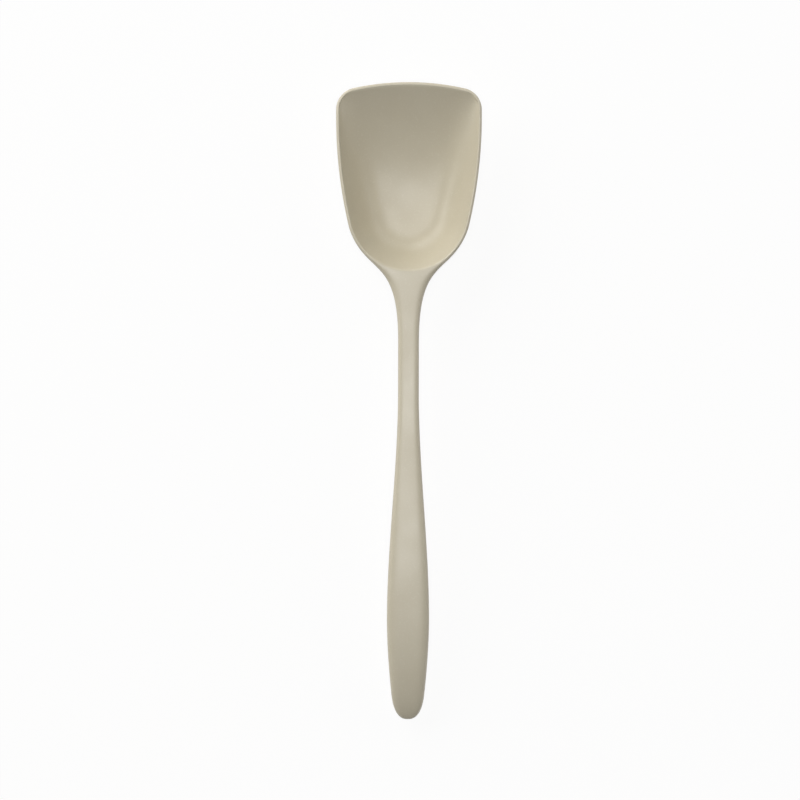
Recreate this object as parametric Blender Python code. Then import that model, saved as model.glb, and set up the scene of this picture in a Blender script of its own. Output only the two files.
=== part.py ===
"""A moulded melamine cooking spoon, 300 mm long, lying on its back as it rests on a worktop.

The spoon comes out of a two-part mould in one piece, so it is one solid. Both mould halves
are height fields over the same plan outline, and they meet in the parting line, which is the
outline itself. The upper half is the deck, which is the handle's back and the bowl's rim,
with the bowl's hollow sunk into it. The lower half is the handle's keel, run together with
the shell that lies one wall thickness under the hollow.

Metres, +Z up, +Y from the grip's end to the bowl's front edge. The origin is the middle of
the footprint, on the surface that the spoon rests on.
"""

import math

import bmesh
import bpy
import numpy as np

# Plan outline
LENGTH = 0.300
BOWL_LENGTH = 0.0894  # front edge to the heel of the rim
BOWL_WIDTH = 0.0684
WIDEST_BEHIND_FRONT = 0.0163  # the widest line lies this far behind the front edge
FRONT_EDGE_RADIUS = 0.120
FRONT_CORNER_RADIUS = 0.0102
HEEL_DRAW_IN = 0.00505  # each side comes in this much on its way back to the heel's round
FLARE_LAG = math.radians(12.5)  # turn of the heel's round before the neck leaves it
FLARE_AT_BOWL = 0.0195  # how far the neck's flare keeps the rim's direction
FLARE_AT_SHAFT = 0.038  # how far it keeps the shaft's direction
NECK_LENGTH = 0.0321  # heel of the rim to the end of the flare
SHAFT_WIDTH = 0.0098
GRIP_WIDTH = 0.0199
GRIP_SWELL_LENGTH = 0.1075  # shaft width to grip width
GRIP_TAPER_LENGTH = 0.0472  # widest line of the grip to its end
GRIP_TIP_WIDTH = 0.0127  # what the taper comes down to at the end
GRIP_ROUND_LENGTH = 0.0121  # stretch of the taper that the rounded end takes up

# Heights and thicknesses
RIM_HEIGHT = 0.020
BOWL_WALL = 0.0023
REST_FLAT_DEPTH = 0.0003  # how much the moulded flat takes off the roundest part underneath
RIM_LAND = 0.0013  # from the outline to where the hollow would break through the rim
RIM_THICKNESS = 0.0025
RIM_EDGE_ROUND = 0.0013
RIM_EDGE_BLEND = 0.0006  # fillet on the inner edge of the free rim
HEEL_EDGE_BLEND = 0.0018  # the same edge where the neck lies behind it
NECK_THICKNESS = 0.0088
SHAFT_THICKNESS = 0.0074
GRIP_THICKNESS = 0.0104
PARTING_SHARE = 0.45  # share of a section's thickness that lies above the parting line
ARCH_LENGTH = 0.125  # stretch of the handle, from its end, that arches down
KEEL_BLEND = 0.011  # how softly the keel runs into the shell under the bowl

# Form of the hollow and of the sections
FLOOR_RADIUS = 0.0205  # where the side and heel walls take off from the floor
FRONT_RAMP_START = 0.051  # where the slope to the front edge takes off
WALL_KNEE = 6.0
RAMP_KNEE = 2.3
CORNER_FIRMNESS = 0.8  # how far wall and front slope keep their own form in the corners
ARCH_POWER = 3.4
TOP_SQUARENESS = 4.0
UNDER_SQUARENESS = 2.2
RIM_SQUARENESS = 2.0
FLANK_MERGE = 4.0  # how firmly the neck's flanks give way to the rounding of the rim
GRIP_TAPER_POWER = 1.72
GRIP_ROUND_SQUARENESS = 2.6
GRIP_SIDE_SQUARENESS = 5.0  # of the grip's end seen from the side

# Mesh density
FRONT_STEPS = 7
CORNER_STEPS = 6
SIDE_STEPS = 13
HEEL_SHOULDER_STEPS = 2
RIM_STEPS = 5
WALL_RINGS = 8
NECK_ROWS = 10
HANDLE_ROWS = 24
GRIP_END_ROWS = 13
WALL_RING_REACH = 0.0070  # the rings follow the rim this far in
RING_CROWDING = 1.5  # how much the rings crowd towards the rim
NECK_CROWDING = 1.7  # how much the neck's rows crowd towards the heel
SLOPE_STEP = 0.0001
FLARE_SAMPLES = 401
ARCH_SAMPLES = 2000
LEAST_WIDTH = 1e-9  # keeps the merged widths finite on the outline itself
LEAST_DEPTH = 1e-4  # keeps the merged depths finite at the rim

# Outline values that follow from the ones above
front_y = LENGTH / 2
end_y = -LENGTH / 2
half_width = BOWL_WIDTH / 2
heel_radius = half_width - HEEL_DRAW_IN
heel_y = front_y - BOWL_LENGTH + heel_radius
widest_y = front_y - WIDEST_BEHIND_FRONT
side_run = widest_y - heel_y
side_offset = (side_run**2 - HEEL_DRAW_IN**2) / (2 * HEEL_DRAW_IN)
side_radius = side_offset + half_width
side_angle = -math.atan2(side_run, side_offset)
flare_angle = side_angle - FLARE_LAG
flare_y = heel_y + heel_radius * math.sin(flare_angle)
heel_rim_y = front_y - BOWL_LENGTH
neck_end_y = heel_rim_y - NECK_LENGTH
grip_y = end_y + GRIP_TAPER_LENGTH
swell_y = grip_y + GRIP_SWELL_LENGTH


def smooth_step(t):
    t = np.clip(t, 0, 1)
    return t * t * (3 - 2 * t)


def smooth_min(a, b, blend):
    """The lower of two heights, with a fillet where they come within the blend."""
    near = np.maximum(blend - np.abs(a - b), 0)
    return np.minimum(a, b) - near**2 / (4 * blend)


def knee(v, take_off, sharpness):
    """0 on the floor, 1 at v = 1, with a straight slope once v is past take_off."""
    rise = (1 + (v / take_off) ** sharpness) ** (1 / sharpness) - 1
    full = (1 + take_off**-sharpness) ** (1 / sharpness) - 1
    return rise / full


def rounded(share, squareness):
    """A section's height from its edge, share 0, to its full height, share 1."""
    return (1 - (1 - np.clip(share, 0, 1)) ** squareness) ** (1 / squareness)


def end_round(y, length, squareness):
    """1 along the handle, falling to 0 over the last length of it as a superellipse does."""
    share = np.clip((end_y + length - y) / length, 0, 1)
    return (1 - share**squareness) ** (1 / squareness)


def circles_meet(first, first_radius, second, second_radius):
    """The point on +X that lies on both circles."""
    dx, dy = second[0] - first[0], second[1] - first[1]
    apart = math.hypot(dx, dy)
    along = (apart**2 + first_radius**2 - second_radius**2) / (2 * apart)
    across = math.sqrt(first_radius**2 - along**2)
    return (
        first[0] + (along * dx + across * dy) / apart,
        first[1] + (along * dy - across * dx) / apart,
    )


def arc(center, radius, start, stop, steps):
    """Stations along an arc, each a centre, a radius and an angle, without the last one."""
    angles = np.linspace(start, stop, steps, endpoint=False)
    return np.array([(*center, radius, angle) for angle in angles])


def rim_stations():
    """The bowl's rim as arcs, from the right end of the neck's flare round to the left end."""
    side_center = (half_width - side_radius, widest_y)
    front_center = (0.0, front_y - FRONT_EDGE_RADIUS)
    corner_center = circles_meet(
        front_center,
        FRONT_EDGE_RADIUS - FRONT_CORNER_RADIUS,
        side_center,
        side_radius - FRONT_CORNER_RADIUS,
    )
    corner_start = math.atan2(corner_center[1] - side_center[1], corner_center[0] - side_center[0])
    corner_stop = math.atan2(corner_center[1] - front_center[1], corner_center[0])
    right = np.concatenate([
        arc((0.0, heel_y), heel_radius, flare_angle, side_angle, 1),
        arc(side_center, side_radius, side_angle, corner_start, SIDE_STEPS),
        arc(corner_center, FRONT_CORNER_RADIUS, corner_start, corner_stop, CORNER_STEPS),
        arc(front_center, FRONT_EDGE_RADIUS, corner_stop, math.pi / 2, FRONT_STEPS),
    ])
    middle = np.array([(*front_center, FRONT_EDGE_RADIUS, math.pi / 2)])
    left = right[::-1] * (-1, 1, 1, -1) + (0, 0, 0, math.pi)
    return np.concatenate([right, middle, left])


def heel_stations(steps):
    """The heel's round, from the left end of the flare to the right one, without the ends."""
    whole = arc((0.0, heel_y), heel_radius, -math.pi - flare_angle, flare_angle, steps)
    return whole[1:]


def inset(stations, depth):
    """The points that lie this deep inside the stations' arcs."""
    x, y, radius, angle = stations.T
    reach = radius - depth
    return np.stack([x + reach * np.cos(angle), y + reach * np.sin(angle)], axis=1)


def handle_half_width(y):
    """The shaft swells to the grip, which tapers to its rounded end."""
    swell = smooth_step((swell_y - y) / GRIP_SWELL_LENGTH)
    taper = np.clip((grip_y - y) / GRIP_TAPER_LENGTH, 0, 1) ** GRIP_TAPER_POWER
    width = (
        SHAFT_WIDTH
        + (GRIP_WIDTH - SHAFT_WIDTH) * swell
        - (GRIP_WIDTH - GRIP_TIP_WIDTH) * taper
    )
    return width / 2 * end_round(y, GRIP_ROUND_LENGTH, GRIP_ROUND_SQUARENESS)


def side_closing(y):
    """Share of the section's thickness that is left towards the grip's end."""
    return end_round(y, GRIP_TAPER_LENGTH, GRIP_SIDE_SQUARENESS)


def flare_curve(t):
    """The right side of the neck: a Bezier curve from the heel's round to the shaft."""
    start = np.array([heel_radius * math.cos(flare_angle), flare_y])
    along_rim = np.array([math.sin(flare_angle), -math.cos(flare_angle)])
    stop = np.array([float(handle_half_width(neck_end_y)), neck_end_y])
    t = t[:, None]
    return (
        (1 - t) ** 3 * start
        + 3 * (1 - t) ** 2 * t * (start + FLARE_AT_BOWL * along_rim)
        + 3 * (1 - t) * t**2 * (stop + (0, FLARE_AT_SHAFT))
        + t**3 * stop
    )


def lower_edge(y):
    """Half width of the neck and handle at y, and the cosine of the outline's lean there."""
    flare = flare_curve(np.linspace(1, 0, FLARE_SAMPLES))
    lean = np.gradient(flare[:, 0], flare[:, 1])
    in_flare = y > neck_end_y
    width = np.where(in_flare, np.interp(y, flare[:, 1], flare[:, 0]), handle_half_width(y))
    cosine = 1 / np.hypot(1, np.where(in_flare, np.interp(y, flare[:, 1], lean), 0))
    return width, cosine


def shallower(a, b):
    """The lower of two depths that are 1 on the floor and 0 at the rim, merged in the corners.

    It is a where b is 1, and b where a is 1. Past the rim a depth is negative and goes on.
    """
    merged = (
        np.maximum(a, LEAST_DEPTH) ** -CORNER_FIRMNESS
        + np.maximum(b, LEAST_DEPTH) ** -CORNER_FIRMNESS
        - 1
    )
    return merged ** (-1 / CORNER_FIRMNESS) + np.minimum(a, 0) + np.minimum(b, 0)


def hollow(x, y):
    """Height of the bowl's inside, carried on as a slope past its rim.

    The side and heel walls are one profile, swept along the outline at a constant distance.
    The slope to the front edge is a second profile along Y. The hollow is as deep as the
    shallower of the two.
    """
    x = np.abs(x)
    from_side = side_radius - np.hypot(x - half_width + side_radius, y - widest_y)
    from_heel = heel_radius - np.hypot(x, y - heel_y)
    beside = np.arctan2(y - widest_y, x - half_width + side_radius) > side_angle
    depth = np.where(beside, from_side, from_heel)
    reach = heel_radius - RIM_LAND
    wall = knee(np.maximum(heel_radius - depth, 0) / reach, FLOOR_RADIUS / reach, WALL_KNEE)
    front = front_y - FRONT_EDGE_RADIUS + np.sqrt(FRONT_EDGE_RADIUS**2 - x**2) - RIM_LAND
    run = front - heel_y
    ramp = knee(np.maximum(y - heel_y, 0) / run, FRONT_RAMP_START / run, RAMP_KNEE)
    floor = BOWL_WALL - REST_FLAT_DEPTH
    return floor + (RIM_HEIGHT - floor) * (1 - shallower(1 - wall, 1 - ramp))


def shell_under(x, y):
    """The hollow's surface, one wall thickness lower along its normal."""
    slope_x = (hollow(x + SLOPE_STEP, y) - hollow(x - SLOPE_STEP, y)) / (2 * SLOPE_STEP)
    slope_y = (hollow(x, y + SLOPE_STEP) - hollow(x, y - SLOPE_STEP)) / (2 * SLOPE_STEP)
    return hollow(x, y) - BOWL_WALL * np.sqrt(1 + slope_x**2 + slope_y**2)


def handle_share(y):
    """0 along the bowl's free rim, 1 from the heel back, changing over beside the heel."""
    return smooth_step((flare_y - y) / (flare_y - heel_rim_y))


def section_thickness(y):
    swell = smooth_step((swell_y - y) / GRIP_SWELL_LENGTH)
    neck = smooth_step((y - neck_end_y) / NECK_LENGTH)
    handle = (
        SHAFT_THICKNESS
        + (GRIP_THICKNESS - SHAFT_THICKNESS) * swell
        + (NECK_THICKNESS - SHAFT_THICKNESS) * neck
    )
    return RIM_THICKNESS + (handle - RIM_THICKNESS) * handle_share(y)


def arch(y):
    return np.clip((end_y + ARCH_LENGTH - y) / ARCH_LENGTH, 0, 1) ** ARCH_POWER


def arch_drop():
    """The drop of the arch that brings the grip's end down to the surface under the bowl."""
    y = np.linspace(end_y, grip_y, ARCH_SAMPLES)
    below_deck = section_thickness(y) * (PARTING_SHARE + (1 - PARTING_SHARE) * side_closing(y))
    return float(np.min((RIM_HEIGHT - below_deck) / arch(y)))


def closing_width(x, y, edge):
    """How far inside the outline a section reaches its full height.

    On the handle this is the half width. Beside the bowl it is what lies between the outline
    and the crest of the rim, so the flanks of the neck run out into the rim's own rounding.
    """
    past_crest = np.hypot(x, y - heel_y) - heel_radius + RIM_EDGE_ROUND
    beside_bowl = np.where(y > flare_y, RIM_EDGE_ROUND, edge + np.maximum(past_crest, 0))
    beside_bowl = np.maximum(beside_bowl, LEAST_WIDTH)
    half = np.maximum(lower_edge(y)[0], LEAST_WIDTH)
    return (beside_bowl**-FLANK_MERGE + half**-FLANK_MERGE) ** (-1 / FLANK_MERGE)


def spoon_heights(x, y, edge):
    """Heights of both mould halves at points that lie this far inside the outline."""
    share = handle_share(y)
    deck = RIM_HEIGHT - arch_drop() * arch(y)
    thickness = section_thickness(y)
    parting = deck - PARTING_SHARE * thickness
    closing = side_closing(y)
    top_squareness = RIM_SQUARENESS + (TOP_SQUARENESS - RIM_SQUARENESS) * share
    under_squareness = RIM_SQUARENESS + (UNDER_SQUARENESS - RIM_SQUARENESS) * share
    edge_share = edge / closing_width(x, y, edge)
    inner_edge = RIM_EDGE_BLEND + (HEEL_EDGE_BLEND - RIM_EDGE_BLEND) * share
    keel_edge = RIM_EDGE_ROUND + (KEEL_BLEND - RIM_EDGE_ROUND) * share
    top = smooth_min(deck, hollow(x, y), inner_edge)
    under = smooth_min(deck - thickness, shell_under(x, y), keel_edge)
    top = parting + (top - parting) * rounded(edge_share, top_squareness) * closing
    under = parting + (under - parting) * rounded(edge_share, under_squareness) * closing
    return top, np.maximum(under, 0)


def patch(bottom, top, left, right):
    """A Coons patch: a grid of points between four edges, rows running bottom to top."""
    t = np.linspace(0, 1, len(left))[:, None, None]
    s = np.linspace(0, 1, len(bottom))[None, :, None]
    between_rows = (1 - t) * bottom[None] + t * top[None]
    between_sides = (1 - s) * left[:, None] + s * right[:, None]
    corners = (
        (1 - t) * ((1 - s) * bottom[0] + s * bottom[-1])
        + t * ((1 - s) * top[0] + s * top[-1])
    )
    return between_rows + between_sides - corners


class Plan:
    """The grid over the outline: where its points are, how far inside each lies, and its faces."""

    def __init__(self):
        self.points = np.empty((0, 2))
        self.edge = np.empty(0)
        self.faces = []
        self.outline = set()

    def add(self, block, edge):
        """Adds a block of points and returns their ids in the block's own rows and columns."""
        first = len(self.points)
        self.points = np.concatenate([self.points, block.reshape(-1, 2)])
        self.edge = np.append(self.edge, np.broadcast_to(edge, block.shape[:-1]))
        return np.arange(first, len(self.points)).reshape(block.shape[:-1])

    def cover(self, block):
        """Quads between neighbouring ids, counterclockwise from above."""
        corners = [block[:-1, :-1], block[:-1, 1:], block[1:, 1:], block[1:, :-1]]
        self.faces.extend(np.stack(corners, axis=-1).reshape(-1, 4).tolist())


def inside_lower_edge(block):
    width, cosine = lower_edge(block[..., 1])
    return np.maximum(width - np.abs(block[..., 0]), 0) * cosine


def add_bowl(plan):
    """Rings that follow the rim inwards, and a patch over the floor. Returns the heel's edge."""
    front_steps = FRONT_STEPS * 2 + CORNER_STEPS
    free_rim = rim_stations()
    heel = heel_stations(front_steps + 2 * HEEL_SHOULDER_STEPS)

    band_depths = RIM_EDGE_ROUND * (1 - np.cos(np.linspace(0, math.pi / 2, RIM_STEPS + 1)))
    band = np.array([plan.add(inset(free_rim, depth), depth) for depth in band_depths])
    plan.outline.update(band[0].tolist())

    spacing = np.linspace(0, 1, WALL_RINGS + 1) ** RING_CROWDING
    depths = RIM_EDGE_ROUND + (WALL_RING_REACH - RIM_EDGE_ROUND) * spacing
    heel_edge = inset(heel, depths[0])
    heel_ids = plan.add(heel_edge, inside_lower_edge(heel_edge))
    rings = [np.concatenate([band[-1], heel_ids])]
    for depth in depths[1:]:
        rings.append(plan.add(inset(np.concatenate([free_rim, heel]), depth), depth))

    last = np.roll(rings[-1], HEEL_SHOULDER_STEPS)
    rise_steps = len(last) // 2 - front_steps
    right, front, left, back = np.split(
        np.append(last, last[0]),
        [rise_steps, rise_steps + front_steps, 2 * rise_steps + front_steps],
    )
    right = np.append(right, front[0])
    front = np.append(front, left[0])[::-1]
    left = np.append(left, back[0])[::-1]
    points = patch(plan.points[back], plan.points[front], plan.points[left], plan.points[right])
    floor = np.empty(points.shape[:2], int)
    floor[0], floor[-1], floor[:, 0], floor[:, -1] = back, front, left, right
    floor[1:-1, 1:-1] = plan.add(points[1:-1, 1:-1], WALL_RING_REACH)

    plan.cover(band)
    plan.cover(np.array([np.append(ring, ring[0]) for ring in rings]))
    plan.cover(floor)
    return np.concatenate([band[:, 0], heel_ids[::-1], band[::-1, -1]])


def add_handle(plan, heel_edge):
    """The neck's rows straighten from the heel's curve to the shaft. The handle's are straight."""
    across = np.cos(np.linspace(0, math.pi, len(heel_edge)))
    x, y = plan.points[heel_edge].T
    share = x / lower_edge(y)[0]
    straightened = np.linspace(0, 1, NECK_ROWS + 1)[1:, None] ** NECK_CROWDING
    row_y = y + (neck_end_y - y) * straightened
    row_x = lower_edge(row_y)[0] * (share + (across - share) * straightened)
    points = np.stack([row_x, row_y], axis=-1)
    neck = np.concatenate([heel_edge[None], plan.add(points, inside_lower_edge(points))])

    end_turns = np.linspace(0, math.pi / 2, GRIP_END_ROWS, endpoint=False)
    rows = np.concatenate([
        np.linspace(neck_end_y, grip_y, HANDLE_ROWS, endpoint=False)[1:],
        grip_y - GRIP_TAPER_LENGTH * np.sin(end_turns),
    ])
    row_x = handle_half_width(rows)[:, None] * across
    points = np.stack(np.broadcast_arrays(row_x, rows[:, None]), axis=-1)
    handle = np.concatenate([neck[-1:], plan.add(points, inside_lower_edge(points))])
    tip = int(plan.add(np.array([[0.0, end_y]]), 0.0)[0])

    plan.cover(neck)
    plan.cover(handle)
    last = handle[-1].tolist()
    plan.faces.extend([a, b, tip] for a, b in zip(last[:-1], last[1:]))
    for block in (neck, handle):
        plan.outline.update(block[:, 0].tolist() + block[:, -1].tolist())
    plan.outline.add(tip)


def make_spoon():
    """Lays the grid on both mould halves and joins them along the outline."""
    plan = Plan()
    add_handle(plan, add_bowl(plan))
    x, y = plan.points.T
    top, under = spoon_heights(x, y, plan.edge)
    mesh = bpy.data.meshes.new("spoon")
    form = bmesh.new()
    upper = [form.verts.new(point) for point in zip(x, y, top)]
    lower = [
        upper[i] if i in plan.outline else form.verts.new((x[i], y[i], under[i]))
        for i in range(len(x))
    ]
    for face in plan.faces:
        form.faces.new([upper[i] for i in face])
        form.faces.new([lower[i] for i in reversed(face)])
    form.to_mesh(mesh)
    form.free()
    mesh.shade_smooth()
    spoon = bpy.data.objects.new("spoon", mesh)
    bpy.context.collection.objects.link(spoon)
    return spoon


def moulded_melamine():
    """Warm grey-beige moulded melamine with a satin gloss."""
    material = bpy.data.materials.new("moulded melamine")
    material.use_nodes = True
    shader = material.node_tree.nodes["Principled BSDF"]
    shader.inputs["Base Color"].default_value = (0.60, 0.56, 0.46, 1)
    shader.inputs["Roughness"].default_value = 0.42
    shader.inputs["Metallic"].default_value = 0
    return material


for old in list(bpy.data.objects):
    bpy.data.objects.remove(old)
make_spoon().data.materials.append(moulded_melamine())
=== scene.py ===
import math

import bpy
import numpy as np
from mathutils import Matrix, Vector


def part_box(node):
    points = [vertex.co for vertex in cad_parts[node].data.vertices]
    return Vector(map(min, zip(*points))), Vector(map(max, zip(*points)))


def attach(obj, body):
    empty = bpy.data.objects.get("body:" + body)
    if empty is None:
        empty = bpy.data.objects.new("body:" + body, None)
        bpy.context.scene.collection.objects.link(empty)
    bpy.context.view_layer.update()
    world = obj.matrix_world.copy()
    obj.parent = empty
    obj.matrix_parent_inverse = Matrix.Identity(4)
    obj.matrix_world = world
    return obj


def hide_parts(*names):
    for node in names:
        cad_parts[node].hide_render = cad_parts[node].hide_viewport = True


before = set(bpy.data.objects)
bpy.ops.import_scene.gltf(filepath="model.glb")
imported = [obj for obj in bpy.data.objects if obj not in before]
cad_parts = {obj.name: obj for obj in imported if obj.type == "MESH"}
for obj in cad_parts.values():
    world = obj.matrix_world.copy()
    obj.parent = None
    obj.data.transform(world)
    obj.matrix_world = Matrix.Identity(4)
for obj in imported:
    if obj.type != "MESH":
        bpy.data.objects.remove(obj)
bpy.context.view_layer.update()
print("frame loaded:", sorted(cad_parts))

# Moulded cooking spoon, all lengths in metres. Length, bowl width and rim height come from the frame
spoonLow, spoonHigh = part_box("spoon")
spoon = {
    "frontY": spoonHigh.y,
    "endY": spoonLow.y,
    "halfWidth": (spoonHigh.x - spoonLow.x) / 2,
    "rimHeight": spoonHigh.z,

    "bowlLength": 0.0894,             # front edge to the heel of the rim
    "widestBehindFront": 0.0163,
    "frontEdgeRadius": 0.120,
    "frontCornerRadius": 0.0102,
    "heelDrawIn": 0.00505,            # how much each side comes in on its way to the heel's round
    "flareLag": math.radians(12.5),   # turn of the heel's round before the neck leaves it
    "flareAtBowl": 0.0195,            # pull along the rim where the neck's flare begins
    "flareAtShaft": 0.038,            # pull along the shaft where it ends
    "neckLength": 0.0321,
    "shaftWidth": 0.0098,
    "gripWidth": 0.0199,
    "gripSwellLength": 0.1075,        # end of the slim shaft to the widest line of the grip
    "gripTaperLength": 0.0472,        # widest line of the grip to its end
    "gripTaperPower": 1.72,
    "gripTipWidth": 0.0127,           # what the taper comes down to at the end
    "gripRoundLength": 0.0121,        # stretch of the taper that the rounded end takes up
    "gripRoundSquareness": 2.6,       # superellipse powers: 2 is round, more is squarer
    "gripSideSquareness": 5.0,        # of the grip's end seen from the side

    "bowlWall": 0.0023,
    "restFlatDepth": 0.0003,          # what the flat under the bowl takes off the wall
    "floorRadius": 0.0205,            # of the flat floor, round the heel's centre
    "frontRampStart": 0.051,          # heel's centre to where the slope to the front starts
    "wallKnee": 6.0,                  # how sharply the floor turns up, to the wall and to the front
    "rampKnee": 2.3,
    "cornerFirmness": 0.8,            # how far wall and front slope keep their own form in the corners

    "rimLand": 0.0013,                # outline to where the hollow breaks through the rim
    "rimThickness": 0.0025,
    "rimEdgeRound": 0.0013,           # width of the rounding from the outline in to the crest
    "rimSquareness": 2.0,
    "rimEdgeBlend": 0.0006,           # inner edge of the free rim
    "heelEdgeBlend": 0.0018,          # the same edge where the neck lies behind it
    "lipSlope": 6.0,                  # rise over run of the lip that keeps the crest level in the corners
    "lipBlend": 0.0003,               # where that lip runs into the hollow

    "neckThickness": 0.0088,
    "shaftThickness": 0.0074,
    "gripThickness": 0.0104,
    "partingShare": 0.45,             # share of a section that lies above the parting line
    "topSquareness": 4.0,
    "underSquareness": 2.2,
    "flankMerge": 4.0,                # how close the flanks keep to the smaller of their two widths
    "keelBlend": 0.011,               # fillet between the neck's underside and the bowl's back
    "archLength": 0.125,
    "archPower": 3.4,
}

# How finely the surface is laid out. The counts keep the piece under 200,000 triangles
spoonGrid = {
    "frontSteps": 56,                 # on each half of the front edge
    "cornerSteps": 26,
    "sideSteps": 84,
    "shoulderSteps": 5,               # the short stretch between the side and the flare
    "heelSteps": 96,
    "bandRings": 9,                   # over the rim's rounding
    "lipRings": 13,                   # just inside it, where the hollow begins
    "lipReach": 0.0045,               # outline to the last of them
    "lipCrowding": 1.5,               # above 1, they lie closer by the crest
    "floorRings": 32,
    "neckRows": 36,
    "neckCrowding": 1.7,              # above 1, they lie closer by the heel
    "handleRows": 104,
    "gripEndRows": 34,
    "flareSamples": 1201,
    "archSamples": 2000,
    "slopeStep": 0.0018,              # either side of a point, so that the shell stays even in the corners
    "leastWidth": 1e-9,               # the least values stand in for 0 under a negative power
    "leastDepth": 1e-4,
}


# Outline lengths and angles that follow from the sizes above. A side is an arc that lies along Y at the
# widest line and runs into the heel's round on its tangent
def outlinePlan(s):
    plan = {"heelRadius": s["halfWidth"] - s["heelDrawIn"]}
    plan["heelRimY"] = s["frontY"] - s["bowlLength"]
    plan["heelY"] = plan["heelRimY"] + plan["heelRadius"]
    plan["widestY"] = s["frontY"] - s["widestBehindFront"]
    run = plan["widestY"] - plan["heelY"]
    offset = (run**2 - s["heelDrawIn"] ** 2) / (2 * s["heelDrawIn"])
    plan["sideRadius"] = offset + s["halfWidth"]
    plan["sideAngle"] = -math.atan2(run, offset)
    plan["flareAngle"] = plan["sideAngle"] - s["flareLag"]
    plan["flareX"] = plan["heelRadius"] * math.cos(plan["flareAngle"])
    plan["flareY"] = plan["heelY"] + plan["heelRadius"] * math.sin(plan["flareAngle"])
    plan["neckEndY"] = plan["heelRimY"] - s["neckLength"]
    plan["gripY"] = s["endY"] + s["gripTaperLength"]
    plan["swellY"] = plan["gripY"] + s["gripSwellLength"]
    return plan


plan = outlinePlan(spoon)


# 3t^2 - 2t^3, held at 0 and 1 outside
def smoothStep(t):
    t = np.clip(t, 0, 1)
    return t * t * (3 - 2 * t)


# The lower of two heights with a parabola let in where they come within the blend
def smoothMin(a, b, blend):
    near = np.maximum(blend - np.abs(a - b), 0)
    return np.minimum(a, b) - near**2 / (4 * blend)


# (1 + (v/t)^s)^(1/s) - 1, scaled to 1 at v = 1: flat up to t, then a straight slope
def knee(v, takeOff, sharpness):
    full = (1 + takeOff**-sharpness) ** (1 / sharpness) - 1
    return ((1 + (v / takeOff) ** sharpness) ** (1 / sharpness) - 1) / full


# Superellipse quarter: 0 at the edge, 1 at full height
def rounded(share, squareness):
    return (1 - (1 - np.clip(share, 0, 1)) ** squareness) ** (1 / squareness)


# 0 along the shaft, 1 where the grip is widest
def gripShare(y):
    return smoothStep((plan["swellY"] - y) / spoon["gripSwellLength"])


# Superellipse fall from 1 to 0 over the last length of the handle
def endRound(y, length, squareness):
    share = np.clip((spoon["endY"] + length - y) / length, 0, 1)
    return (1 - share**squareness) ** (1 / squareness)


# Half of: shaft width plus a smooth step to grip width, less a power curve to tip width; then the rounded end
def handleHalfWidth(y):
    s = spoon
    taper = np.clip((plan["gripY"] - y) / s["gripTaperLength"], 0, 1) ** s["gripTaperPower"]
    width = s["shaftWidth"] + (s["gripWidth"] - s["shaftWidth"]) * gripShare(y)
    width = width - (s["gripWidth"] - s["gripTipWidth"]) * taper
    return width / 2 * endRound(y, s["gripRoundLength"], s["gripRoundSquareness"])


# Superellipse fall of the section's thickness, from 1 to 0 over the grip's taper
def sideClosing(y):
    return endRound(y, spoon["gripTaperLength"], spoon["gripSideSquareness"])


# Cubic Bezier along the neck's right side: leaves the heel's round on its tangent, meets the shaft along Y
def flareCurve(t):
    start = np.array([plan["flareX"], plan["flareY"]])
    alongRim = np.array([math.sin(plan["flareAngle"]), -math.cos(plan["flareAngle"])])
    stop = np.array([float(handleHalfWidth(plan["neckEndY"])), plan["neckEndY"]])
    t = t[:, None]
    leave = start + spoon["flareAtBowl"] * alongRim
    arrive = stop + (0, spoon["flareAtShaft"])
    return (1 - t) ** 3 * start + 3 * (1 - t) ** 2 * t * leave + 3 * (1 - t) * t**2 * arrive + t**3 * stop


flare = flareCurve(np.linspace(1, 0, spoonGrid["flareSamples"]))
flareLean = np.gradient(flare[:, 0], flare[:, 1])


# Half width of neck and handle at y, and the cosine of the outline's lean there
def lowerEdge(y):
    inFlare = y > plan["neckEndY"]
    width = np.where(inFlare, np.interp(y, flare[:, 1], flare[:, 0]), handleHalfWidth(y))
    lean = np.where(inFlare, np.interp(y, flare[:, 1], flareLean), 0)
    return width, 1 / np.hypot(1, lean)


# The lower of two depths, each 1 on the floor and 0 at the rim: (a^-n + b^-n - 1)^(-1/n), which is a where b
# is 1 and b where a is 1. Past the rim, where a depth is negative, it goes on as a slope
def shallower(a, b, firmness):
    least = spoonGrid["leastDepth"]
    both = np.maximum(a, least) ** -firmness + np.maximum(b, least) ** -firmness - 1
    return both ** (-1 / firmness) + np.minimum(a, 0) + np.minimum(b, 0)


# The bowl's inside, its depth the shallower of two: a knee profile swept along the outline at constant
# distance, and a knee profile along Y up to the front edge
def hollow(x, y):
    s = spoon
    x = np.abs(x)
    sideX = s["halfWidth"] - plan["sideRadius"]
    fromSide = plan["sideRadius"] - np.hypot(x - sideX, y - plan["widestY"])
    fromHeel = plan["heelRadius"] - np.hypot(x, y - plan["heelY"])
    beside = np.arctan2(y - plan["widestY"], x - sideX) > plan["sideAngle"]
    depth = np.where(beside, fromSide, fromHeel)
    reach = plan["heelRadius"] - s["rimLand"]
    inWall = np.maximum(plan["heelRadius"] - depth, 0) / reach
    wall = knee(inWall, s["floorRadius"] / reach, s["wallKnee"])
    frontArc = s["frontY"] - s["frontEdgeRadius"] + np.sqrt(s["frontEdgeRadius"] ** 2 - x**2)
    run = frontArc - s["rimLand"] - plan["heelY"]
    ramp = knee(np.maximum(y - plan["heelY"], 0) / run, s["frontRampStart"] / run, s["rampKnee"])
    floor = s["bowlWall"] - s["restFlatDepth"]
    return floor + (s["rimHeight"] - floor) * (1 - shallower(1 - wall, 1 - ramp, s["cornerFirmness"]))


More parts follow.
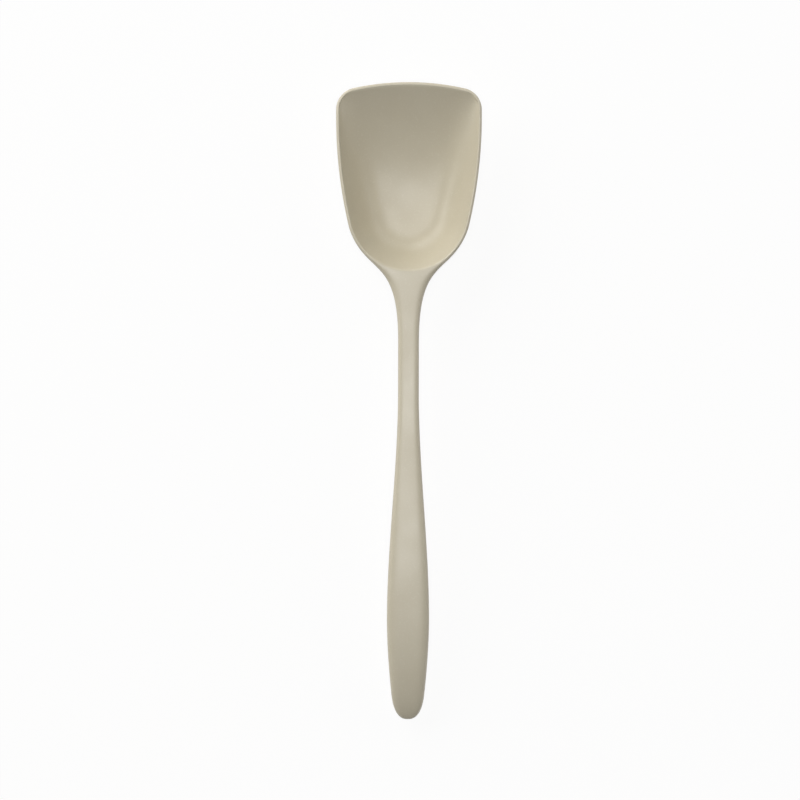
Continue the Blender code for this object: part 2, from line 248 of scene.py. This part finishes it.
# The hollow lowered by one wall thickness measured square to it
def shellUnder(x, y):
    step = spoonGrid["slopeStep"]
    slopeX = (hollow(x + step, y) - hollow(x - step, y)) / (2 * step)
    slopeY = (hollow(x, y + step) - hollow(x, y - step)) / (2 * step)
    return hollow(x, y) - spoon["bowlWall"] * np.sqrt(1 + slopeX**2 + slopeY**2)


# 0 along the bowl's free rim, 1 from the heel back
def handleShare(y):
    return smoothStep((plan["flareY"] - y) / (plan["flareY"] - plan["heelRimY"]))


# Rim thickness that turns into neck, shaft and grip thickness along Y
def sectionThickness(y):
    s = spoon
    neck = smoothStep((y - plan["neckEndY"]) / s["neckLength"])
    handle = s["shaftThickness"] + (s["gripThickness"] - s["shaftThickness"]) * gripShare(y)
    handle = handle + (s["neckThickness"] - s["shaftThickness"]) * neck
    return s["rimThickness"] + (handle - s["rimThickness"]) * handleShare(y)


# Power curve, 0 where the arch starts and 1 at the grip's end
def arch(y):
    share = (spoon["endY"] + spoon["archLength"] - y) / spoon["archLength"]
    return np.clip(share, 0, 1) ** spoon["archPower"]


# The drop that brings the grip's underside down to the surface that the bowl lies on
def archDrop():
    s = spoon
    y = np.linspace(s["endY"], plan["gripY"], spoonGrid["archSamples"])
    lower = (1 - s["partingShare"]) * sideClosing(y)
    return float(np.min((s["rimHeight"] - sectionThickness(y) * (s["partingShare"] + lower)) / arch(y)))


gripDrop = archDrop()


# How far inside the outline a section reaches full height: the half width on the handle, and beside the
# bowl what lies between the outline and the rim's crest, the two merged as 1/(a^-n + b^-n)^(1/n)
def closingWidth(x, y, edge):
    s = spoon
    pastCrest = np.hypot(x, y - plan["heelY"]) - plan["heelRadius"] + s["rimEdgeRound"]
    besideBowl = np.where(y > plan["flareY"], s["rimEdgeRound"], edge + np.maximum(pastCrest, 0))
    besideBowl = np.maximum(besideBowl, spoonGrid["leastWidth"])
    half = np.maximum(lowerEdge(y)[0], spoonGrid["leastWidth"])
    return (besideBowl ** -s["flankMerge"] + half ** -s["flankMerge"]) ** (-1 / s["flankMerge"])


# The hollow or, where that is lower right beside the free rim, a steep lip that falls away from the crest
def bowlInside(x, y, deck, edge):
    s = spoon
    inside = hollow(x, y)
    lip = deck - s["lipSlope"] * np.maximum(edge - s["rimLand"], 0)
    return np.where(y > plan["flareY"], -smoothMin(-inside, -lip, s["lipBlend"]), inside)


# Upper and lower surface over (x, y), at points that lie this far inside the outline: the deck cut by the
# bowl's inside, and the lower of section and shell, both closed on the parting line by superellipses
def spoonHeights(x, y, edge):
    s = spoon
    share = handleShare(y)
    deck = s["rimHeight"] - gripDrop * arch(y)
    thickness = sectionThickness(y)
    parting = deck - s["partingShare"] * thickness
    closing = sideClosing(y)
    edgeShare = edge / closingWidth(x, y, edge)
    topRound = rounded(edgeShare, s["rimSquareness"] + (s["topSquareness"] - s["rimSquareness"]) * share)
    underRound = rounded(edgeShare, s["rimSquareness"] + (s["underSquareness"] - s["rimSquareness"]) * share)
    innerEdge = s["rimEdgeBlend"] + (s["heelEdgeBlend"] - s["rimEdgeBlend"]) * share
    top = smoothMin(deck, bowlInside(x, y, deck, edge), innerEdge)
    blend = s["rimEdgeRound"] + (s["keelBlend"] - s["rimEdgeRound"]) * share
    under = smoothMin(deck - thickness, shellUnder(x, y), blend)
    top = parting + (top - parting) * topRound * closing
    under = parting + (under - parting) * underRound * closing
    return top, np.maximum(under, spoonLow.z)


# The point right of the axis that lies on both circles
def circlesMeet(first, firstRadius, second, secondRadius):
    dx, dy = second[0] - first[0], second[1] - first[1]
    apart = math.hypot(dx, dy)
    along = (apart**2 + firstRadius**2 - secondRadius**2) / (2 * apart)
    across = math.sqrt(firstRadius**2 - along**2)
    return first[0] + (along * dx + across * dy) / apart, first[1] + (along * dy - across * dx) / apart


# Stations along an arc as rows of centre x, centre y, radius and angle, without the last one
def arcStations(centre, radius, start, stop, steps):
    angle = np.linspace(start, stop, steps, endpoint=False)
    x, y, reach = (np.full(steps, value) for value in (*centre, radius))
    return np.stack([x, y, reach, angle], axis=1)


# The bowl's free rim from the right end of the flare round to the left, and the heel's round behind it
def rimStations():
    s, g = spoon, spoonGrid
    heelRadius, flareAngle, sideAngle = plan["heelRadius"], plan["flareAngle"], plan["sideAngle"]
    heelCentre = (0.0, plan["heelY"])
    sideCentre = (s["halfWidth"] - plan["sideRadius"], plan["widestY"])
    frontCentre = (0.0, s["frontY"] - s["frontEdgeRadius"])
    cornerCentre = circlesMeet(
        frontCentre, s["frontEdgeRadius"] - s["frontCornerRadius"],
        sideCentre, plan["sideRadius"] - s["frontCornerRadius"])
    sideStop = math.atan2(cornerCentre[1] - sideCentre[1], cornerCentre[0] - sideCentre[0])
    cornerStop = math.atan2(cornerCentre[1] - frontCentre[1], cornerCentre[0])
    right = np.concatenate([
        arcStations(heelCentre, heelRadius, flareAngle, sideAngle, g["shoulderSteps"]),
        arcStations(sideCentre, plan["sideRadius"], sideAngle, sideStop, g["sideSteps"]),
        arcStations(cornerCentre, s["frontCornerRadius"], sideStop, cornerStop, g["cornerSteps"]),
        arcStations(frontCentre, s["frontEdgeRadius"], cornerStop, math.pi / 2, g["frontSteps"]),
    ])
    middle = np.array([(*frontCentre, s["frontEdgeRadius"], math.pi / 2)])
    left = right[::-1] * (-1, 1, 1, -1) + (0, 0, 0, math.pi)
    heel = arcStations(heelCentre, heelRadius, -math.pi - flareAngle, flareAngle, g["heelSteps"])[1:]
    return np.concatenate([right, middle, left]), heel


# Points this deep inside the stations' arcs, one row of points for each depth
def inset(stations, depths):
    x, y, radius, angle = stations.T
    reach = radius - np.atleast_1d(depths)[:, None]
    return np.stack([x + reach * np.cos(angle), y + reach * np.sin(angle)], axis=-1)


# Distance inside the outline, measured square to it: from the heel's circle ahead of the flare, and from the
# sloping side of neck and handle behind it
def insideLowerEdge(points):
    x, y = points[..., 0], points[..., 1]
    width, cosine = lowerEdge(y)
    fromCircle = plan["heelRadius"] - np.hypot(x, y - plan["heelY"])
    return np.maximum(np.where(y > plan["flareY"], fromCircle, (width - np.abs(x)) * cosine), 0)


# The row that the neck starts from, of points or of their numbers: up the band's right end, along the heel's
# crest and down the band's left end
def heelRow(band, heel):
    return np.concatenate([band[:, 0], heel[0, ::-1], band[::-1, -1]])


# Rows from the heel back to the shaft, each a larger share of the way from the heel's row to a straight one
def neckPlan(firstRow, across):
    g = spoonGrid
    share = firstRow[:, 0] / lowerEdge(firstRow[:, 1])[0]
    straightened = np.linspace(0, 1, g["neckRows"] + 1)[1:, None] ** g["neckCrowding"]
    y = firstRow[:, 1] + (plan["neckEndY"] - firstRow[:, 1]) * straightened
    x = lowerEdge(y)[0] * (share + (across - share) * straightened)
    return np.stack([x, y], axis=-1)


# Straight rows across shaft and grip, evenly apart up to the grip's widest line and then as a sine
def handlePlan(across):
    s, g = spoon, spoonGrid
    turns = np.linspace(0, math.pi / 2, g["gripEndRows"], endpoint=False)
    y = np.concatenate([
        np.linspace(plan["neckEndY"], plan["gripY"], g["handleRows"], endpoint=False)[1:],
        plan["gripY"] - s["gripTaperLength"] * np.sin(turns),
    ])[:, None]
    return np.stack(np.broadcast_arrays(handleHalfWidth(y) * across, y), axis=-1)


# The spoon seen from above, in blocks of points with their distances inside the outline: a band over the free
# rim's rounding, the heel's crest, the lip inside both, rings that close on a pole on the bowl's floor, and
# the rows of neck and handle, across which the points are spaced as a cosine, with a pole at the grip's end
def planBlocks():
    s, g = spoon, spoonGrid
    freeRim, heel = rimStations()
    band = s["rimEdgeRound"] * (1 - np.cos(np.linspace(0, math.pi / 2, g["bandRings"] + 1)))
    inward = np.linspace(0, 1, g["lipRings"] + 1)[1:] ** g["lipCrowding"]
    lip = s["rimEdgeRound"] + (g["lipReach"] - s["rimEdgeRound"]) * inward
    bandPoints = inset(freeRim, band)
    heelPoints = inset(heel, s["rimEdgeRound"])
    lipPoints = inset(np.concatenate([freeRim, heel]), lip)
    pole = np.array([[[0.0, plan["heelY"]]]])
    toPole = np.linspace(0, 1, g["floorRings"] + 1)[1:-1, None, None]
    floorPoints = lipPoints[-1] + (pole - lipPoints[-1]) * toPole
    firstRow = heelRow(bandPoints, heelPoints)
    across = np.cos(np.linspace(0, math.pi, len(firstRow)))
    neckPoints = neckPlan(firstRow, across)
    handlePoints = handlePlan(across)
    return {
        "band": (bandPoints, band[:, None]),
        "heel": (heelPoints, insideLowerEdge(heelPoints)),
        "lip": (lipPoints, lip[:, None]),
        "floor": (floorPoints, g["lipReach"]),
        "pole": (pole, g["lipReach"]),
        "neck": (neckPoints, insideLowerEdge(neckPoints)),
        "handle": (handlePoints, insideLowerEdge(handlePoints)),
        "tip": (np.array([[[0.0, s["endY"]]]]), 0.0),
    }


# All blocks' points and distances in one row each, and the numbers of the points block by block
def joinBlocks(blocks):
    points, edge, ids, count = [], [], {}, 0
    for name, (places, distances) in blocks.items():
        shape = places.shape[:2]
        points.append(places.reshape(-1, 2))
        edge.append(np.broadcast_to(distances, shape).ravel())
        ids[name] = count + np.arange(len(points[-1])).reshape(shape)
        count += len(points[-1])
    return np.concatenate(points), np.concatenate(edge), ids


# Quads between neighbouring numbers of a block, counterclockwise from above
def quads(block):
    return np.stack([block[:-1, :-1], block[:-1, 1:], block[1:, 1:], block[1:, :-1]], axis=-1).reshape(-1, 4)


# Triangles between neighbouring numbers of a row and a pole
def fan(row, pole):
    return np.stack([row[:-1], row[1:], np.full(len(row) - 1, pole)], axis=1)


# Quads and triangles of one sheet, and the numbers of the points on the outline
def planFaces(ids):
    crest = np.concatenate([ids["band"][-1], ids["heel"][0]])[None]
    rings = np.concatenate([crest, ids["lip"], ids["floor"]])
    rings = np.concatenate([rings, rings[:, :1]], axis=1)
    rows = np.concatenate([heelRow(ids["band"], ids["heel"])[None], ids["neck"], ids["handle"]])
    faces = np.concatenate([quads(ids["band"]), quads(rings), quads(rows)])
    fans = np.concatenate([fan(rings[-1], ids["pole"].item()), fan(rows[-1], ids["tip"].item())])
    outline = np.unique(np.concatenate([ids["band"][0], rows[:, 0], rows[:, -1], ids["tip"][0]]))
    return faces, fans, outline


# Lays the plan on the upper and the lower surface and sews them along the outline
def makeSpoon():
    points, edge, ids = joinBlocks(planBlocks())
    faces, fans, outline = planFaces(ids)
    x, y = points.T
    top, under = spoonHeights(x, y, edge)
    count = len(points)
    lowerId = np.full(count, -1)
    lowerId[outline] = outline
    inner = np.flatnonzero(lowerId < 0)
    lowerId[inner] = count + np.arange(len(inner))
    upperSheet = np.stack([x, y, top], axis=1)
    lowerSheet = np.stack([x[inner], y[inner], under[inner]], axis=1)
    sheets = np.concatenate([upperSheet, lowerSheet])
    fourSided = np.concatenate([faces, lowerId[faces[:, ::-1]]])
    threeSided = np.concatenate([fans, lowerId[fans[:, ::-1]]])
    mesh = bpy.data.meshes.new("spoonBody")
    mesh.from_pydata(sheets.tolist(), [], fourSided.tolist() + threeSided.tolist())
    mesh.polygons.foreach_set("use_smooth", np.ones(len(mesh.polygons), bool))
    fromOutline = mesh.attributes.new("edgeDistance", "FLOAT", "POINT")
    fromOutline.data.foreach_set("value", np.concatenate([edge, edge[inner]]).astype(np.float32))
    mesh.validate()
    piece = bpy.data.objects.new("spoonBody", mesh)
    bpy.context.scene.collection.objects.link(piece)
    return piece


# sRGB hex to linear: v/12.92 in the darkest tones, ((v + 0.055)/1.055)^2.4 above
def hexColour(text):
    value = np.array([int(text[i:i + 2], 16) for i in (1, 3, 5)]) / 255
    linear = np.where(value <= 0.04045, value / 12.92, ((value + 0.055) / 1.055) ** 2.4)
    return (*linear.tolist(), 1.0)


# Adds one node, sets its properties and inputs, and links what is named by (node, output)
def addNode(tree, kind, settings=None, **inputs):
    node = tree.nodes.new(kind)
    for name, value in (settings or {}).items():
        setattr(node, name, value)
    for name, value in inputs.items():
        socket = node.inputs[name.replace("_", " ")]
        if isinstance(value, tuple) and isinstance(value[0], bpy.types.Node):
            tree.links.new(value[0].outputs[value[1]], socket)
        else:
            socket.default_value = value
    return node


# Melamine resin, compression moulded in a finely blasted steel mould: opaque and even in colour, with a satin
# gloss. The resin's filler leaves a faint cloudiness, the blasting a fine grain, and the rim, where the
# moulding's flash is buffed off, is a little smoother than the rest
melamine = {
    "base": "#CFC7B1",
    "cloud": "#C9C0A9",               # a shade deeper, where the filler lies denser
    "cloudSize": 14.0,                # mm across
    "cloudThin": 0.3,                 # noise value where the body is smoothest, and where it is roughest
    "cloudDense": 0.7,
    "fleck": "#D6CFBC",               # a shade lighter, single grains of filler
    "fleckSize": 0.9,                 # mm; real grains are about 0.1 mm, too fine to show
    "fleckShare": 0.35,
    "fleckStart": 0.55,               # noise value where a grain begins to show, and where it shows in full
    "fleckFull": 0.75,
    "roughness": 0.42,
    "roughnessSpread": 0.035,         # up and down, over the clouds
    "rimRoughness": 0.36,
    "rimWidth": 0.0016,               # m from the outline that the buffing reaches
    "grainSize": 0.7,                 # mm; the blasted grain is about 0.05 mm, drawn coarser so that it shows
    "grainDepth": 0.000004,           # m
    "waveSize": 22.0,                 # mm, slight unevenness left by shrinkage
    "waveDepth": 0.00001,             # m
    "ior": 1.6,
}

# A Mix node has its first input, second input and result at these numbers, for colours and for plain values
mixColour = {"first": 6, "second": 7, "result": 2}
mixValue = {"first": 2, "second": 3, "result": 0}


def mouldedMelamine():
    m = melamine
    material = bpy.data.materials.new("satinMouldedMelamine")
    material.use_nodes = True
    tree = material.node_tree
    shader = tree.nodes["Principled BSDF"]
    shader.inputs["IOR"].default_value = m["ior"]
    place = (addNode(tree, "ShaderNodeTexCoord"), "Object")
    perMetre = 1000                   # the sizes are in mm, a noise's scale is in patches per metre
    clouds = addNode(tree, "ShaderNodeTexNoise", Vector=place, Scale=perMetre / m["cloudSize"], Detail=2.0)
    flecks = addNode(tree, "ShaderNodeTexNoise", Vector=place, Scale=perMetre / m["fleckSize"], Detail=1.0)
    grain = addNode(tree, "ShaderNodeTexNoise", Vector=place, Scale=perMetre / m["grainSize"], Detail=2.0)
    waves = addNode(tree, "ShaderNodeTexNoise", Vector=place, Scale=perMetre / m["waveSize"], Detail=0.0)

    cloudy = addNode(tree, "ShaderNodeMix", {"data_type": "RGBA"}, Factor=(clouds, "Fac"))
    cloudy.inputs[mixColour["first"]].default_value = hexColour(m["base"])
    cloudy.inputs[mixColour["second"]].default_value = hexColour(m["cloud"])
    fleckMask = addNode(tree, "ShaderNodeMapRange", {"interpolation_type": "SMOOTHSTEP"},
                        Value=(flecks, "Fac"), From_Min=m["fleckStart"], From_Max=m["fleckFull"],
                        To_Max=m["fleckShare"])
    flecked = addNode(tree, "ShaderNodeMix", {"data_type": "RGBA"}, Factor=(fleckMask, "Result"))
    tree.links.new(cloudy.outputs[mixColour["result"]], flecked.inputs[mixColour["first"]])
    flecked.inputs[mixColour["second"]].default_value = hexColour(m["fleck"])
    tree.links.new(flecked.outputs[mixColour["result"]], shader.inputs["Base Color"])

    smoothest = m["roughness"] - m["roughnessSpread"]
    roughest = m["roughness"] + m["roughnessSpread"]
    body = addNode(tree, "ShaderNodeMapRange", Value=(clouds, "Fac"), From_Min=m["cloudThin"],
                   From_Max=m["cloudDense"], To_Min=smoothest, To_Max=roughest)
    fromOutline = addNode(tree, "ShaderNodeAttribute", {"attribute_name": "edgeDistance"})
    pastRim = addNode(tree, "ShaderNodeMapRange", {"interpolation_type": "SMOOTHSTEP"},
                      Value=(fromOutline, "Fac"), From_Max=m["rimWidth"])
    rough = addNode(tree, "ShaderNodeMix", {"data_type": "FLOAT"}, Factor=(pastRim, "Result"))
    rough.inputs[mixValue["first"]].default_value = m["rimRoughness"]
    tree.links.new(body.outputs["Result"], rough.inputs[mixValue["second"]])
    tree.links.new(rough.outputs[mixValue["result"]], shader.inputs["Roughness"])

    uneven = addNode(tree, "ShaderNodeBump", Height=(waves, "Fac"), Distance=m["waveDepth"])
    grained = addNode(tree, "ShaderNodeBump", Height=(grain, "Fac"), Distance=m["grainDepth"])
    tree.links.new(uneven.outputs["Normal"], grained.inputs["Normal"])
    tree.links.new(grained.outputs["Normal"], shader.inputs["Normal"])
    return material


spoonPiece = makeSpoon()
spoonPiece.data.materials.append(mouldedMelamine())
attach(spoonPiece, "root")
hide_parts("spoon")
print("spoon made:", len(spoonPiece.data.polygons), "faces")

# White table of matt paper, shown almost plain white to the camera, with the spoon's shadow kept
table = {
    "size": 6.0,                      # m
    "colour": "#F4F3F1",
    "roughness": 0.9,
    "gloss": 0.0,
    "ownWhite": 0.9,                  # share of the plain white in what the camera sees
    "ownStrength": 1.02,              # brings the rest, which the lamps light, up to white with it
}
plainWhite = (1, 1, 1, 1)


# 1 for what is seen straight, in a gloss or through glass, and 0 for the soft light that falls on the spoon:
# the largest of the three kinds of ray
def seenWhite(tree):
    path = addNode(tree, "ShaderNodeLightPath")
    seen = path.outputs["Is Camera Ray"]
    for ray in ("Is Glossy Ray", "Is Transmission Ray"):
        largest = addNode(tree, "ShaderNodeMath", {"operation": "MAXIMUM"})
        tree.links.new(seen, largest.inputs[0])
        tree.links.new(path.outputs[ray], largest.inputs[1])
        seen = largest.outputs[0]
    return seen


def makeTable():
    half = table["size"] / 2
    corners = [(-half, -half, 0), (half, -half, 0), (half, half, 0), (-half, half, 0)]
    mesh = bpy.data.meshes.new("whiteTable")
    mesh.from_pydata(corners, [], [(0, 1, 2, 3)])
    board = bpy.data.objects.new("whiteTable", mesh)
    bpy.context.scene.collection.objects.link(board)
    material = bpy.data.materials.new("whiteTablePaper")
    material.use_nodes = True
    tree = material.node_tree
    paper = tree.nodes["Principled BSDF"]
    paper.inputs["Base Color"].default_value = hexColour(table["colour"])
    paper.inputs["Roughness"].default_value = table["roughness"]
    paper.inputs["Specular IOR Level"].default_value = table["gloss"]
    share = addNode(tree, "ShaderNodeMath", {"operation": "MULTIPLY"})
    tree.links.new(seenWhite(tree), share.inputs[0])
    share.inputs[1].default_value = table["ownWhite"]
    white = addNode(tree, "ShaderNodeEmission", Color=plainWhite, Strength=table["ownStrength"])
    mixed = addNode(tree, "ShaderNodeMixShader", Fac=(share, 0))
    tree.links.new(paper.outputs["BSDF"], mixed.inputs[1])
    tree.links.new(white.outputs["Emission"], mixed.inputs[2])
    tree.links.new(mixed.outputs["Shader"], tree.nodes["Material Output"].inputs["Surface"])
    mesh.materials.append(material)


makeTable()

# Soft studio light: a round lamp overhead, a very wide low softbox ahead of the bowl on the left, which
# lights the left edges, and a weaker one on the right. Wide boxes keep the gloss soft from nearly every side
lamps = {
    "overhead": {"from": (0, 0.05, 2.4), "wide": 1.0, "high": 1.0, "watts": 22.3},
    "lowLeft": {"from": (-1.55, 1.6, 0.98), "wide": 4.0, "high": 1.8, "watts": 55.3},
    "lowRight": {"from": (1.85, 1.34, 0.82), "wide": 3.0, "high": 1.3, "watts": 13.7},
}
lampsAim = (0, 0.05, 0)               # on the table, under the neck


def makeLamp(name, lamp):
    data = bpy.data.lights.new(name, "AREA")
    data.shape = "ELLIPSE"
    data.size = lamp["wide"]
    data.size_y = lamp["high"]
    data.energy = lamp["watts"]
    holder = bpy.data.objects.new(name, data)
    bpy.context.scene.collection.objects.link(holder)
    start, stop = Vector(lamp["from"]), Vector(lampsAim)
    holder.location = start
    holder.rotation_euler = (stop - start).to_track_quat("-Z", "Y").to_euler()


for lampName, lampSizes in lamps.items():
    makeLamp(lampName, lampSizes)


# The room gives no soft light of its own, and is white wherever something looks past the table
def makeRoom():
    world = bpy.data.worlds.new("paleRoom")
    world.use_nodes = True
    tree = world.node_tree
    tree.nodes.clear()
    white = addNode(tree, "ShaderNodeBackground", Color=plainWhite)
    tree.links.new(seenWhite(tree), white.inputs["Strength"])
    addNode(tree, "ShaderNodeOutputWorld", Surface=(white, "Background"))
    bpy.context.scene.world = world


makeRoom()

# The photograph looks straight down, with the spoon's front edge at the top
photoView = {
    "width": 0.37507,                 # metres across the picture at the rim's height
    "middle": (-0.00395, 0.00083),    # m; the spoon lies a little right of the picture's centre
    "roll": math.radians(0.11),
    "lens": 180.0,                    # mm, like the sensor
    "sensor": 36.0,
    "nearest": 0.05,                  # m, what the camera can see
    "farthest": 20.0,
}


def makeCamera():
    data = bpy.data.cameras.new("photoCamera")
    data.lens = photoView["lens"]
    data.sensor_width = photoView["sensor"]
    data.clip_start = photoView["nearest"]
    data.clip_end = photoView["farthest"]
    camera = bpy.data.objects.new("photoCamera", data)
    bpy.context.scene.collection.objects.link(camera)
    away = photoView["width"] * photoView["lens"] / photoView["sensor"]
    camera.location = (*photoView["middle"], spoonHigh.z + away)
    camera.rotation_euler = (0, 0, photoView["roll"])
    bpy.context.scene.camera = camera


makeCamera()
bpy.context.scene.view_settings.view_transform = "Standard"
print("stage, lamps and camera made")
